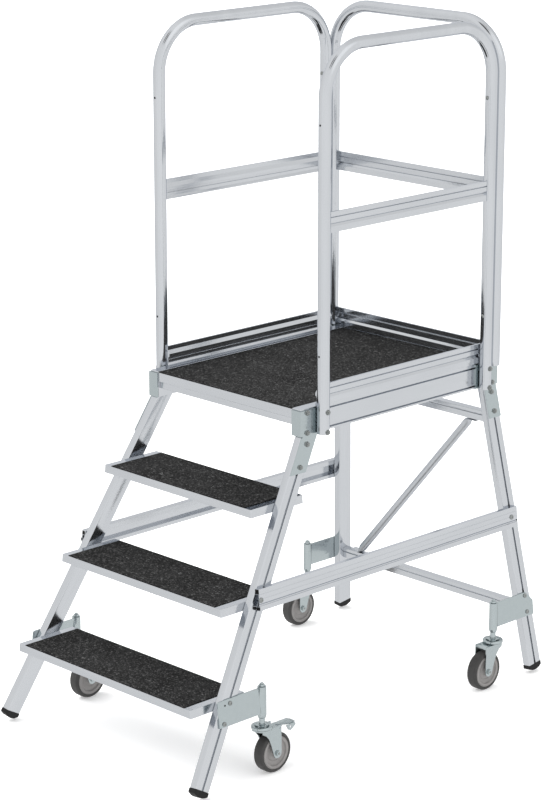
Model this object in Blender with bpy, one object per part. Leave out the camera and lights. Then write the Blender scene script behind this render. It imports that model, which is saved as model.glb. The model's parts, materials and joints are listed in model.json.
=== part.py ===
"""Wheeled platform steps: three treads, a guarded platform and four spring castors.

Metres, +Z up. A climber walks up towards +Y, with +X on the right-hand side.
The floor is z = 0, and the origin lies under the middle of the outline.
At rest the castor springs hold the rubber feet FEET_Z clear of the floor.
"""

from math import asin, cos, pi, sin, sqrt, tan

import bmesh
import bpy
from mathutils import Matrix, Vector

# --- Driving dimensions -------------------------------------------------------
GAP = 0.0003                # clearance kept between touching pieces
RUNNING = 0.0001            # radial clearance of a shaft in its hole

FEET_Z = 0.0075             # lowest point of the feet while nobody stands on the steps
STEP_BASE_Z = 0.005         # level from which the rises are counted
RISE = 0.240                # height from one tread to the next
GOING = 0.1396              # how far back each tread stands behind the one below
TREAD_COUNT = 3
PLATFORM_Z = STEP_BASE_Z + 4 * RISE

SPLAY = 0.121               # sideways lean of every leg, per metre of height
STILE_RAKE = GOING / RISE   # backward lean of the front stiles, per metre of height
REAR_RAKE = -0.135          # forward lean of the rear legs, per metre of height
FRONT_FOOT_Y = -0.6934      # leg centre lines at the level STEP_BASE_Z
REAR_FOOT_Y = 0.6826
LEG_DEPTH = 0.050           # leg section, front to back
LEG_THICKNESS = 0.025       # leg section, across
LEG_TOP_GAP = 0.0015        # joint line between a leg's top and the platform beam
SLOT_WIDTH = 0.007          # T-shaped bolt slot along a leg's outer face
SLOT_LIP = 0.002
SLOT_CAVITY_WIDTH = 0.013
SLOT_DEPTH = 0.009
GROOVE_WIDTH = 0.004        # plain groove along a beam or rail
GROOVE_DEPTH = 0.005

PLATFORM_FRONT = -0.2104
PLATFORM_LENGTH = 0.800
PLATFORM_REAR = PLATFORM_FRONT + PLATFORM_LENGTH
BEAM_INNER_X = 0.270
BEAM_OUTER_X = 0.302
BEAM_TOP_Z = PLATFORM_Z + 0.0015
BEAM_BOTTOM_Z = STEP_BASE_Z + 0.886
BEAM_SLOTS_Z = (STEP_BASE_Z + 0.894, STEP_BASE_Z + 0.948)
# The outer faces of the legs meet the outer faces of the beams
FOOT_X = BEAM_OUTER_X + SPLAY * (BEAM_BOTTOM_Z - STEP_BASE_Z) - LEG_THICKNESS / 2 * sqrt(1 + SPLAY ** 2)

TREAD_DEPTH = 0.197
TREAD_HEIGHT = 0.025
TREAD_OVERHANG = 0.120      # from a tread's front edge back to the stile centre line
TREAD_WALL = 0.003
GRIP_THICKNESS = 0.0015     # gritted anti-slip sheet on treads and platform
GRIP_MARGIN = 0.0265        # bare metal left at each end of a tread

TUBE_RADIUS = 0.0175        # guard rail tube
TUBE_WALL = 0.002
POST_X = 0.3245
FRONT_POST_INSET = 0.064    # from the platform's front end to the middle of a post
REAR_POST_INSET = 0.070     # the same at the rear end
GUARD_TOP_Z = PLATFORM_Z + 0.996
BEND_RADIUS = 0.140
FRONT_POST_Y = PLATFORM_FRONT + FRONT_POST_INSET
REAR_POST_Y = PLATFORM_REAR - REAR_POST_INSET
BACK_LOOP_Y = REAR_POST_Y + 2 * TUBE_RADIUS + 0.0006
SIDE_POST_BOTTOM_Z = STEP_BASE_Z + 0.8875
BACK_POST_BOTTOM_Z = STEP_BASE_Z + 0.9525

RAIL_HEIGHT = 0.057         # knee rails and toe boards share one extrusion
RAIL_THICKNESS = 0.013
KNEE_RAIL_Z = PLATFORM_Z + 0.509

BRACKET_THICKNESS = 0.004
BRACKET_LENGTH = 0.091
BRACKET_TOP_Z = STEP_BASE_Z + 0.957
BRACKET_FOLD_Z = BEAM_BOTTOM_Z
BRACKET_TONGUE_Z = STEP_BASE_Z + 0.789

SIDE_RAIL_Z = STEP_BASE_Z + 0.4845
SIDE_RAIL_HEIGHT = 0.060
SIDE_RAIL_THICKNESS = 0.015
SIDE_RAIL_FRONT = -0.4274
SIDE_RAIL_REAR = 0.6296
CROSS_RAIL_HEIGHT = 0.033
CROSS_RAIL_DEPTH = 0.020
UPPER_CROSS_Z = STEP_BASE_Z + 0.787
LOWER_CROSS_Z = STEP_BASE_Z + 0.197

SOLE_RADIUS = 0.045         # rounded sole of a foot
SOLE_RISE = 0.0254          # from the sole's centre down to the leg's end
FOOT_MARGIN = 0.00075       # how far a foot stands proud of its leg
PLUG_LENGTH = 0.020         # part of a foot held inside the leg

WHEEL_RADIUS = 0.0575
TYRE_WIDTH = 0.033
TYRE_INNER_RADIUS = 0.047
WHEEL_SIDES = 28
CASTOR_X = 0.384
FRONT_CASTOR_Y = -0.4374
REAR_CASTOR_Y = 0.5096
CASTOR_TRAIL = 0.039        # from the swivel axis back to the axle
AXLE_RADIUS = 0.006
KINGPIN_RADIUS = 0.004
GUIDE_RADIUS = 0.0082       # part of the stem that slides in the socket's mouth
PEDAL_PIN_RADIUS = 0.0024
SOCKET_RADIUS = 0.0125
SOCKET_TOP_Z = STEP_BASE_Z + 0.2515
SOCKET_BOTTOM_Z = STEP_BASE_Z + 0.161
RACE_TOP_Z = 0.1445
RACE_BOTTOM_Z = 0.1355
CROWN_TOP_Z = 0.1350
CROWN_BOTTOM_Z = 0.1315
PLATE_BOTTOM_Z = STEP_BASE_Z + 0.174
PLATE_TOP_Z = STEP_BASE_Z + 0.247
PLATE_THICKNESS = 0.004
PEDAL_PIVOT = Vector((0.0, 0.0470, 0.1290))   # measured from the swivel axis at floor level

SIDES = (("left", -1), ("right", 1))

# Viewport finishes: base colour, roughness, metallic
FINISHES = {
    "anodised": ((0.80, 0.81, 0.83), 0.35, 1.0),
    "zinc": ((0.62, 0.65, 0.65), 0.40, 1.0),
    "grit": ((0.02, 0.02, 0.02), 0.95, 0.0),
    "rubber": ((0.015, 0.015, 0.015), 0.70, 0.0),
    "tyre": ((0.09, 0.09, 0.09), 0.65, 0.0),
    "hub": ((0.30, 0.30, 0.31), 0.50, 0.0),
}


# --- Scene helpers ------------------------------------------------------------
def clear_scene():
    for obj in list(bpy.data.objects):
        bpy.data.objects.remove(obj, do_unlink=True)


def finish(obj, kind):
    """Give the object its own Principled material."""
    colour, roughness, metallic = FINISHES[kind]
    material = bpy.data.materials.new(obj.name + "_" + kind)
    material.use_nodes = True
    shader = material.node_tree.nodes["Principled BSDF"]
    shader.inputs["Base Color"].default_value = (*colour, 1.0)
    shader.inputs["Roughness"].default_value = roughness
    shader.inputs["Metallic"].default_value = metallic
    obj.data.materials.clear()
    obj.data.materials.append(material)


def make_object(name, bm, kind, smooth=False):
    """Turn a bmesh into a named object with outward faces."""
    bmesh.ops.remove_doubles(bm, verts=bm.verts, dist=1e-6)
    bmesh.ops.recalc_face_normals(bm, faces=bm.faces)
    mesh = bpy.data.meshes.new(name)
    bm.to_mesh(mesh)
    bm.free()
    obj = bpy.data.objects.new(name, mesh)
    bpy.context.scene.collection.objects.link(obj)
    finish(obj, kind)
    if smooth:
        mesh.shade_smooth()
        mesh.set_sharp_from_angle(angle=0.6)
    return obj


def boolean(obj, tool, operation):
    """Leave a Boolean on obj, and keep the tool object out of the model."""
    tool.hide_render = True
    tool.display_type = "WIRE"
    modifier = obj.modifiers.new(operation.lower(), "BOOLEAN")
    modifier.operation = operation
    modifier.solver = "EXACT"
    modifier.object = tool


# --- Shapes -------------------------------------------------------------------
def arc(centre, radius, start, end, steps):
    """Points of a circular arc, angles in radians, both ends included."""
    points = []
    for index in range(steps + 1):
        angle = start + (end - start) * index / steps
        points.append((centre[0] + radius * cos(angle), centre[1] + radius * sin(angle)))
    return points


def rounded(corners, radius, steps=3):
    """Round every corner of a polygon by the same radius."""
    points = []
    count = len(corners)
    for index, corner in enumerate(corners):
        here = Vector(corner)
        before = (Vector(corners[index - 1]) - here).normalized()
        after = (Vector(corners[(index + 1) % count]) - here).normalized()
        half = before.angle(after) / 2
        centre = here + (before + after).normalized() * radius / sin(half)
        first = here + before * radius / tan(half) - centre
        last = here + after * radius / tan(half) - centre
        for step in range(steps + 1):
            blend = first.lerp(last, step / steps).normalized() * radius
            points.append(tuple(centre + blend))
    return points


def rectangle(u0, u1, v0, v1):
    return [(u0, v0), (u1, v0), (u1, v1), (u0, v1)]


def prism(loops, origin, u_axis, v_axis, start, end):
    """Extrude section loops, the first one outside and the others hollows.

    start and end are planes, each a point and a normal, which cut the extrusion.
    """
    along = u_axis.cross(v_axis)
    bm = bmesh.new()
    rings = ([], [])
    for loop in loops:
        for ring, (point, normal) in zip(rings, (start, end)):
            verts = []
            for u, v in loop:
                base = origin + u_axis * u + v_axis * v
                distance = (point - base).dot(normal) / along.dot(normal)
                verts.append(bm.verts.new(base + along * distance))
            ring.append(verts)
    for near, far in zip(*rings):
        count = len(near)
        for index in range(count):
            following = (index + 1) % count
            bm.faces.new((near[index], near[following], far[following], far[index]))
    for ring in rings:
        edges = []
        for verts in ring:
            for index, vert in enumerate(verts):
                edges.append(bm.edges.get((vert, verts[(index + 1) % len(verts)])))
        bmesh.ops.triangle_fill(bm, use_beauty=True, use_dissolve=False, edges=edges)
    return bm


def turned(profile, segments, axis="Z"):
    """Turn (radius, height) points about an axis; a bored piece closes on itself."""
    solid = profile[0][0] == 0.0
    bm = bmesh.new()
    rings = []
    for radius, height in profile:
        if radius == 0.0:
            rings.append([bm.verts.new((0, 0, height))])
            continue
        ring = []
        for index in range(segments):
            angle = 2 * pi * index / segments
            ring.append(bm.verts.new((radius * cos(angle), radius * sin(angle), height)))
        rings.append(ring)
    pairs = list(zip(rings, rings[1:]))
    if not solid:
        pairs.append((rings[-1], rings[0]))
    for first, second in pairs:
        for index in range(segments):
            following = (index + 1) % segments
            corners = [first[index % len(first)], first[following % len(first)],
                       second[following % len(second)], second[index % len(second)]]
            unique = list(dict.fromkeys(corners))
            bm.faces.new(unique)
    if axis == "X":
        bmesh.ops.rotate(bm, verts=bm.verts, matrix=Matrix.Rotation(pi / 2, 3, "Y"))
    return bm


def swept(stations, sides, sizes, wall=0.0):
    """Sweep an elliptic section along stations, each a point and two section axes.

    With a wall the result is an open-ended tube, and without it a solid rod.
    """
    bm = bmesh.new()
    skins = []
    for inset in ((0.0, wall) if wall else (0.0,)):
        rings = []
        for (point, across, over), (half_width, half_height) in zip(stations, sizes):
            ring = []
            for index in range(sides):
                angle = 2 * pi * (index + 0.5) / sides
                ring.append(bm.verts.new(point
                                         + across * (half_width - inset) * cos(angle)
                                         + over * (half_height - inset) * sin(angle)))
            rings.append(ring)
        skins.append(rings)
        for first, second in zip(rings, rings[1:]):
            for index in range(sides):
                following = (index + 1) % sides
                bm.faces.new((first[index], first[following], second[following], second[index]))
    for end in (0, -1):
        if wall:
            outer, inner = skins[0][end], skins[1][end]
            for index in range(sides):
                following = (index + 1) % sides
                bm.faces.new((outer[index], outer[following], inner[following], inner[index]))
        else:
            bm.faces.new(skins[0][end])
    return bm


def outline_plate(outline, thickness, centre_x=0.0):
    """A flat plate standing in the YZ plane, cut to an outline of (y, z) points."""
    half = thickness / 2
    return prism([outline], Vector((0, 0, 0)), Vector((0, 1, 0)), Vector((0, 0, 1)),
                 (Vector((centre_x - half, 0, 0)), Vector((1, 0, 0))),
                 (Vector((centre_x + half, 0, 0)), Vector((1, 0, 0))))


# --- Legs and feet ------------------------------------------------------------
class Leg:
    """Centre line and section axes of one raked and splayed leg."""

    def __init__(self, side, foot_y, rake):
        self.side = side
        self.foot_y = foot_y
        self.rake = rake
        self.along = Vector((-side * SPLAY, rake, 1)).normalized()
        self.outward = Vector((side, 0, SPLAY)).normalized()
        self.across = self.along.cross(self.outward)

    def centre(self, z):
        height = z - STEP_BASE_Z
        return Vector((self.side * (FOOT_X - SPLAY * height), self.foot_y + self.rake * height, z))

    def face_point(self, z, offset):
        """A point offset outwards from the centre line, square to the outer face."""
        return self.centre(z) + self.outward * offset


def make_legs():
    legs = {}
    for side_name, side in SIDES:
        legs["front_" + side_name] = Leg(side, FRONT_FOOT_Y, STILE_RAKE)
        legs["rear_" + side_name] = Leg(side, REAR_FOOT_Y, REAR_RAKE)
    return legs


def sole_centre(leg):
    return leg.centre(FEET_Z + SOLE_RADIUS)


def leg_end(leg):
    return sole_centre(leg) - leg.along * SOLE_RISE


def leg_hollow(clearance=0.0):
    """Inside of the leg section: u runs outwards and v across the leg."""
    half_t = LEG_THICKNESS / 2
    half_d = LEG_DEPTH / 2
    return rectangle(-half_t + 0.0022 + clearance, half_t - SLOT_DEPTH - 0.002 - clearance,
                     -half_d + 0.0025 + clearance, half_d - 0.0025 - clearance)


def add_leg(name, leg):
    half_t = LEG_THICKNESS / 2
    half_d = LEG_DEPTH / 2
    outer = rounded(rectangle(-half_t, half_t, -half_d, half_d), 0.002)
    split = 1 + max(index for index, (u, v) in enumerate(outer) if u > 0 and v < 0)
    lower_slot = [(half_t, -SLOT_WIDTH / 2), (half_t - SLOT_LIP, -SLOT_WIDTH / 2),
                  (half_t - SLOT_LIP, -SLOT_CAVITY_WIDTH / 2),
                  (half_t - SLOT_DEPTH, -SLOT_CAVITY_WIDTH / 2)]
    upper_slot = [(u, -v) for u, v in reversed(lower_slot)]
    outer = outer[:split] + lower_slot + upper_slot + outer[split:]
    bm = prism([outer, leg_hollow()], sole_centre(leg), leg.outward, leg.across,
               (leg_end(leg), leg.along),
               (Vector((0, 0, BEAM_BOTTOM_Z - LEG_TOP_GAP)), Vector((0, 0, 1))))
    make_object(name, bm, "anodised")


def add_foot(name, leg):
    """A rubber plug in the leg's end, with a round sole and a small level tread on it."""
    half_d = LEG_DEPTH / 2 + FOOT_MARGIN
    half_t = LEG_THICKNESS / 2 + FOOT_MARGIN
    reach = asin(half_d / SOLE_RADIUS)
    outline = arc((0, 0), SOLE_RADIUS, -pi / 2 - reach, -pi / 2 + reach, 14)
    outline += [(half_d, -SOLE_RISE - GAP), (-half_d, -SOLE_RISE - GAP)]
    centre = sole_centre(leg)
    bm = prism([outline], centre, leg.across, leg.along,
               (centre - leg.outward * half_t, leg.outward),
               (centre + leg.outward * half_t, leg.outward))
    geometry = list(bm.verts) + list(bm.edges) + list(bm.faces)
    bmesh.ops.bisect_plane(bm, geom=geometry, plane_co=(0, 0, FEET_Z), plane_no=(0, 0, 1),
                           clear_inner=True)
    bmesh.ops.holes_fill(bm, edges=bm.edges)
    foot = make_object(name, bm, "rubber")
    plug = prism([leg_hollow(GAP)], centre, leg.outward, leg.across,
                 (leg_end(leg) - leg.along * 0.004, leg.along),
                 (leg_end(leg) + leg.along * PLUG_LENGTH, leg.along))
    boolean(foot, make_object(name + "_plug", plug, "rubber"), "UNION")


# --- Treads and platform ------------------------------------------------------
def add_tread(number, stile):
    """A tray with closed ends that follow the splay of the stiles, and its grip sheet."""
    top = STEP_BASE_Z + number * RISE
    metal_top = top - GRIP_THICKNESS - GAP
    bottom = top - TREAD_HEIGHT
    front = stile.centre(top).y - TREAD_OVERHANG
    half_width = stile.face_point(metal_top, -LEG_THICKNESS / 2).x - GAP * 2
    bm = bmesh.new()
    shells = []
    for inset, upper in ((0.0, metal_top), (TREAD_WALL, metal_top - TREAD_WALL)):
        shell = []
        for z in (bottom, upper):
            half = half_width - inset + SPLAY * (metal_top - z)
            y0 = front + inset
            y1 = front + TREAD_DEPTH - inset
            shell.append([bm.verts.new((x, y, z))
                          for x, y in ((-half, y0), (half, y0), (half, y1), (-half, y1))])
        shells.append(shell)
    for low, high in shells:
        for index in range(4):
            following = (index + 1) % 4
            bm.faces.new((low[index], low[following], high[following], high[index]))
        bm.faces.new(high)
    outer_rim, inner_rim = shells[0][0], shells[1][0]
    for index in range(4):
        following = (index + 1) % 4
        bm.faces.new((outer_rim[index], outer_rim[following], inner_rim[following], inner_rim[index]))
    make_object(f"tread_{number}", bm, "anodised")
    half_grip = half_width - GRIP_MARGIN
    add_grip(f"tread_{number}_grip", half_grip, front + 0.001, front + TREAD_DEPTH - 0.004, top)


def add_grip(name, half_width, front, rear, top):
    outline = rectangle(front, rear, top - GRIP_THICKNESS, top)
    bm = prism([outline], Vector((0, 0, 0)), Vector((0, 1, 0)), Vector((0, 0, 1)),
               (Vector((-half_width, 0, 0)), Vector((1, 0, 0))),
               (Vector((half_width, 0, 0)), Vector((1, 0, 0))))
    make_object(name, bm, "grit")


def groove(face, middle, depth=GROOVE_DEPTH, width=GROOVE_WIDTH):
    """Section points of a groove in a face at u = face, going up."""
    low, high = middle - width / 2, middle + width / 2
    return [(face, low), (face - depth, low), (face - depth, high), (face, high)]


def beam_sections():
    """Platform beam: u runs outwards from the beam's middle and v upwards from its bottom."""
    half = (BEAM_OUTER_X - BEAM_INNER_X) / 2
    height = BEAM_TOP_Z - BEAM_BOTTOM_Z
    outer = [(-half, 0), (half, 0)]
    for slot_z in BEAM_SLOTS_Z:
        outer += groove(half, slot_z - BEAM_BOTTOM_Z)
    outer += [(half, height), (-half, height)]
    hollow = rectangle(-half + 0.003, half - GROOVE_DEPTH - 0.003, 0.004, height - 0.004)
    return [outer, hollow]


def add_platform():
    up = Vector((0, 0, 1))
    beam_middle = (BEAM_INNER_X + BEAM_OUTER_X) / 2
    for side_name, side in SIDES:
        bm = prism(beam_sections(), Vector((side * beam_middle, 0, BEAM_BOTTOM_Z)),
                   Vector((side, 0, 0)), up,
                   (Vector((0, PLATFORM_FRONT, 0)), Vector((0, 1, 0))),
                   (Vector((0, PLATFORM_REAR, 0)), Vector((0, 1, 0))))
        make_object("platform_beam_" + side_name, bm, "anodised")
    half_deck = BEAM_INNER_X - GAP
    rear_middle = PLATFORM_REAR - (BEAM_OUTER_X - BEAM_INNER_X) / 2
    bm = prism(beam_sections(), Vector((0, rear_middle, BEAM_BOTTOM_Z)), Vector((0, 1, 0)), up,
               (Vector((-half_deck, 0, 0)), Vector((1, 0, 0))),
               (Vector((half_deck, 0, 0)), Vector((1, 0, 0))))
    make_object("platform_beam_rear", bm, "anodised")
    add_deck(half_deck)
    add_grip("platform_grip", BEAM_INNER_X - 0.002, PLATFORM_FRONT + 0.001,
             BACK_LOOP_Y - RAIL_THICKNESS / 2 - 0.001, PLATFORM_Z)


def add_deck(half_width):
    """Bent deck panel: a stepped nosing in front, stiffening ribs and a rear flange."""
    top = PLATFORM_Z - GRIP_THICKNESS - GAP
    wall = 0.003
    front = PLATFORM_FRONT
    rear = PLATFORM_REAR - (BEAM_OUTER_X - BEAM_INNER_X) - GAP
    step_z = STEP_BASE_Z + 0.932
    bottom = STEP_BASE_Z + 0.912
    step = 0.006
    outline = [(front, top), (front, step_z), (front + step, step_z), (front + step, bottom),
               (front + step + wall, bottom), (front + step + wall, top - wall)]
    rib_count = 5
    for index in range(1, rib_count + 1):
        middle = front + (rear - front) * index / (rib_count + 1)
        outline += [(middle - wall / 2, top - wall), (middle - wall / 2, bottom + 0.010),
                    (middle + wall / 2, bottom + 0.010), (middle + wall / 2, top - wall)]
    outline += [(rear - wall, top - wall), (rear - wall, bottom), (rear, bottom), (rear, top)]
    bm = prism([outline], Vector((0, 0, 0)), Vector((0, 1, 0)), Vector((0, 0, 1)),
               (Vector((-half_width, 0, 0)), Vector((1, 0, 0))),
               (Vector((half_width, 0, 0)), Vector((1, 0, 0))))
    make_object("platform_deck", bm, "anodised")


# --- Corner brackets ----------------------------------------------------------
def add_bracket(name, leg, end_y, inward):
    """A folded plate: an end flange, a side plate on the beam and a tongue down the leg.

    inward is +1 where the platform runs towards +Y from this end, and -1 at the rear.
    """
    side = leg.side
    face_x = abs(leg.face_point(BRACKET_FOLD_Z, LEG_THICKNESS / 2 + GAP).x)
    flange_y = end_y - inward * GAP
    edge_y = flange_y + inward * BRACKET_LENGTH
    half_leg = LEG_DEPTH / 2 * sqrt(1 + leg.rake ** 2)
    tongue = []
    for z in (BRACKET_FOLD_Z, BRACKET_TONGUE_Z):
        middle = leg.face_point(z, LEG_THICKNESS / 2 + GAP)
        tongue.append([Vector((middle.x, middle.y + direction * half_leg, z))
                       for direction in (-inward, inward)])
    bm = bmesh.new()
    top_end = bm.verts.new((side * face_x, flange_y, BRACKET_TOP_Z))
    top_edge = bm.verts.new((side * face_x, edge_y, BRACKET_TOP_Z))
    fold_edge = bm.verts.new((side * face_x, edge_y, BRACKET_FOLD_Z))
    fold_end = bm.verts.new((side * face_x, flange_y, BRACKET_FOLD_Z))
    upper = [bm.verts.new(corner) for corner in tongue[0]]
    lower = [bm.verts.new(corner) for corner in tongue[1]]
    flange_top = bm.verts.new((side * (BEAM_INNER_X + 0.001), flange_y, BRACKET_TOP_Z))
    flange_low = bm.verts.new((side * (BEAM_INNER_X + 0.001), flange_y, BRACKET_FOLD_Z))
    bm.faces.new((top_end, top_edge, fold_edge, upper[1], upper[0], fold_end))
    bm.faces.new((upper[0], upper[1], lower[1], lower[0]))
    bm.faces.new((flange_top, top_end, fold_end, flange_low))
    bmesh.ops.recalc_face_normals(bm, faces=bm.faces)
    bm.faces.ensure_lookup_table()
    outward = bm.faces[0].normal.x * side > 0
    if not outward:
        bmesh.ops.reverse_faces(bm, faces=bm.faces)
    mesh = bpy.data.meshes.new(name)
    bm.to_mesh(mesh)
    bm.free()
    obj = bpy.data.objects.new(name, mesh)
    bpy.context.scene.collection.objects.link(obj)
    finish(obj, "zinc")
    plate = obj.modifiers.new("plate", "SOLIDIFY")
    plate.thickness = BRACKET_THICKNESS
    plate.offset = 1.0
    plate.use_even_offset = True


# --- Guard rails --------------------------------------------------------------
def loop_stations(start, end, bottom_z, top_z):
    """An upside-down U from one foot of the loop to the other."""
    run = (end - start).normalized()
    up = Vector((0, 0, 1))
    side = run.cross(up)
    bend_z = top_z - TUBE_RADIUS - BEND_RADIUS
    steps = 6
    stations = [(start + up * bottom_z, -run, side)]
    for centre, first, last in ((start + run * BEND_RADIUS, -run, up),
                                (end - run * BEND_RADIUS, up, run)):
        for index in range(steps + 1):
            angle = pi / 2 * index / steps
            radial = first * cos(angle) + last * sin(angle)
            stations.append((centre + up * bend_z + radial * BEND_RADIUS, radial, side))
    stations.append((end + up * bottom_z, run, side))
    return stations


def add_guard_loop(name, start, end, bottom_z):
    stations = loop_stations(start, end, bottom_z, GUARD_TOP_Z)
    sizes = [(TUBE_RADIUS, TUBE_RADIUS)] * len(stations)
    make_object(name, swept(stations, 16, sizes, TUBE_WALL), "anodised", smooth=True)


def rail_sections():
    """Knee rail and toe board: two hollow edges joined by a thinner web."""
    half_t = RAIL_THICKNESS / 2
    half_h = RAIL_HEIGHT / 2
    web = half_t - 0.003
    outer = [(-half_t, -half_h), (half_t, -half_h), (half_t, -0.0105), (web, -0.0105),
             (web, 0.0115), (half_t, 0.0115), (half_t, half_h), (-half_t, half_h),
             (-half_t, 0.0115), (-web, 0.0115), (-web, -0.0135), (-half_t, -0.0135)]
    hollow = rectangle(-half_t + 0.005, half_t - 0.005, -half_h + 0.003, half_h - 0.003)
    return [outer, hollow]


def add_rail(name, start, end, coped=()):
    """A knee rail or toe board between two points on its middle line.

    coped lists the post centres that its ends are shaped around.
    """
    run = (end - start).normalized()
    outward = run.cross(Vector((0, 0, 1)))
    bm = prism(rail_sections(), start, outward, Vector((0, 0, 1)), (start, run), (end, run))
    rail = make_object(name, bm, "anodised")
    for index, post in enumerate(coped):
        cutter = turned([(0.0, 0.1), (TUBE_RADIUS + GAP, 0.1), (TUBE_RADIUS + GAP, -0.1),
                         (0.0, -0.1)], 40)
        tool = make_object(f"{name}_cope_{index}", cutter, "anodised")
        tool.location = Vector((post.x, post.y, start.z))
        boolean(rail, tool, "DIFFERENCE")


def add_guard_rails():
    toe_z = BEAM_TOP_Z + GAP + RAIL_HEIGHT / 2
    reach = Vector((0, 0.010, 0))
    for side_name, side in SIDES:
        front = Vector((side * POST_X, FRONT_POST_Y, 0))
        rear = Vector((side * POST_X, REAR_POST_Y, 0))
        add_guard_loop("guard_loop_" + side_name, front, rear, SIDE_POST_BOTTOM_Z)
        knee = Vector((0, 0, KNEE_RAIL_Z))
        add_rail("knee_rail_" + side_name, front + reach + knee, rear - reach + knee, (front, rear))
        toe_x = POST_X - TUBE_RADIUS - GAP - RAIL_THICKNESS / 2
        toe = Vector((side * toe_x, 0, toe_z))
        add_rail("toe_board_" + side_name, toe + Vector((0, FRONT_POST_Y, 0)),
                 toe + Vector((0, REAR_POST_Y, 0)))
    left = Vector((-POST_X, BACK_LOOP_Y, 0))
    right = Vector((POST_X, BACK_LOOP_Y, 0))
    add_guard_loop("guard_loop_back", left, right, BACK_POST_BOTTOM_Z)
    reach = Vector((0.010, 0, 0))
    for name, z in (("knee_rail_back", KNEE_RAIL_Z), ("toe_board_back", toe_z)):
        level = Vector((0, 0, z))
        add_rail(name, left + reach + level, right - reach + level, (left, right))


# --- Side rails, cross rails and brace -----------------------------------------
def side_rail_sections():
    """u runs outwards from the leg's face and v up its slope.

    Two tubes joined by a web on the outside, with a groove above the lower tube.
    """
    half = SIDE_RAIL_HEIGHT / 2
    deep = SIDE_RAIL_THICKNESS
    web = 0.0035
    upper = half - 0.015
    lower = -half + 0.012
    outer = [(0, -half), (deep, -half)] + groove(deep, -half + 0.0155, 0.0025, 0.003)
    outer += [(deep, half), (0, half), (0, upper), (deep - web, upper), (deep - web, lower),
              (0, lower)]
    wall = 0.002
    hollows = [rectangle(wall, deep - wall, -half + wall, lower - wall),
               rectangle(wall, deep - wall, upper + wall, half - wall)]
    return [outer] + hollows


def add_side_rails(legs):
    for side_name, side in SIDES:
        leg = legs["front_" + side_name]
        origin = leg.face_point(SIDE_RAIL_Z, LEG_THICKNESS / 2 + GAP)
        slope_up = Vector((-side * SPLAY, 0, 1)).normalized()
        bm = prism(side_rail_sections(), origin, leg.outward, slope_up,
                   (Vector((0, SIDE_RAIL_FRONT, 0)), Vector((0, 1, 0))),
                   (Vector((0, SIDE_RAIL_REAR, 0)), Vector((0, 1, 0))))
        make_object("side_rail_" + side_name, bm, "anodised")


def cross_rail_sections():
    half_d = CROSS_RAIL_DEPTH / 2
    half_h = CROSS_RAIL_HEIGHT / 2
    outer = [(-half_d, -half_h), (half_d, -half_h), (half_d, half_h), (-half_d, half_h)]
    front_groove = groove(half_d, half_h - 0.012, 0.003)
    outer += [(-u, v) for u, v in reversed(front_groove)]
    hollow = rectangle(-half_d + 0.005, half_d - 0.002, -half_h + 0.002, half_h - 0.002)
    return [outer, hollow]


def rear_plane_axes():
    """Directions in the plane of the rear legs: up the plane, and square to it."""
    up = Vector((0, REAR_RAKE, 1)).normalized()
    back = Vector((0, 1, -REAR_RAKE)).normalized()
    return up, back


def add_cross_rail(name, z, legs):
    up, back = rear_plane_axes()
    left, right = legs["rear_left"], legs["rear_right"]
    middle = Vector((0, left.centre(z).y, z))
    inner = -LEG_THICKNESS / 2 - GAP
    bm = prism(cross_rail_sections(), middle, back, up,
               (left.face_point(z, inner), left.outward),
               (right.face_point(z, inner), right.outward))
    make_object(name, bm, "anodised")


def add_brace(legs):
    """A round tube with flattened ends, screwed under the upper rail and onto the lower one."""
    up, back = rear_plane_axes()
    leg = legs["rear_left"]
    tab = 0.0022
    half_rail = CROSS_RAIL_HEIGHT / 2 + GAP + tab
    low = Vector((0, leg.centre(LOWER_CROSS_Z).y, LOWER_CROSS_Z)) + up * half_rail
    high = Vector((0, leg.centre(UPPER_CROSS_Z).y, UPPER_CROSS_Z)) - up * half_rail
    low_end, low_bend = low + Vector((-0.325, 0, 0)), low + Vector((-0.293, 0, 0))
    high_bend, high_end = high + Vector((0.220, 0, 0)), high + Vector((0.252, 0, 0))
    run = (high_bend - low_bend).normalized()
    level = Vector((1, 0, 0))
    half_way = (run + level).normalized()
    length = (high_bend - low_bend).length
    radius = 0.0125
    taper = 0.020
    flat = (radius * 1.15, tab)
    shape = [(low_end, level, flat), (low_bend, half_way, flat),
             (low_bend + run * taper, run, (radius, radius)),
             (low_bend + run * (length - taper), run, (radius, radius)),
             (high_bend, half_way, flat), (high_end, level, flat)]
    stations = []
    sizes = []
    for point, direction, size in shape:
        stations.append((point, back, direction.cross(back)))
        sizes.append(size)
    make_object("diagonal_brace", swept(stations, 16, sizes), "anodised", smooth=True)


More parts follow.
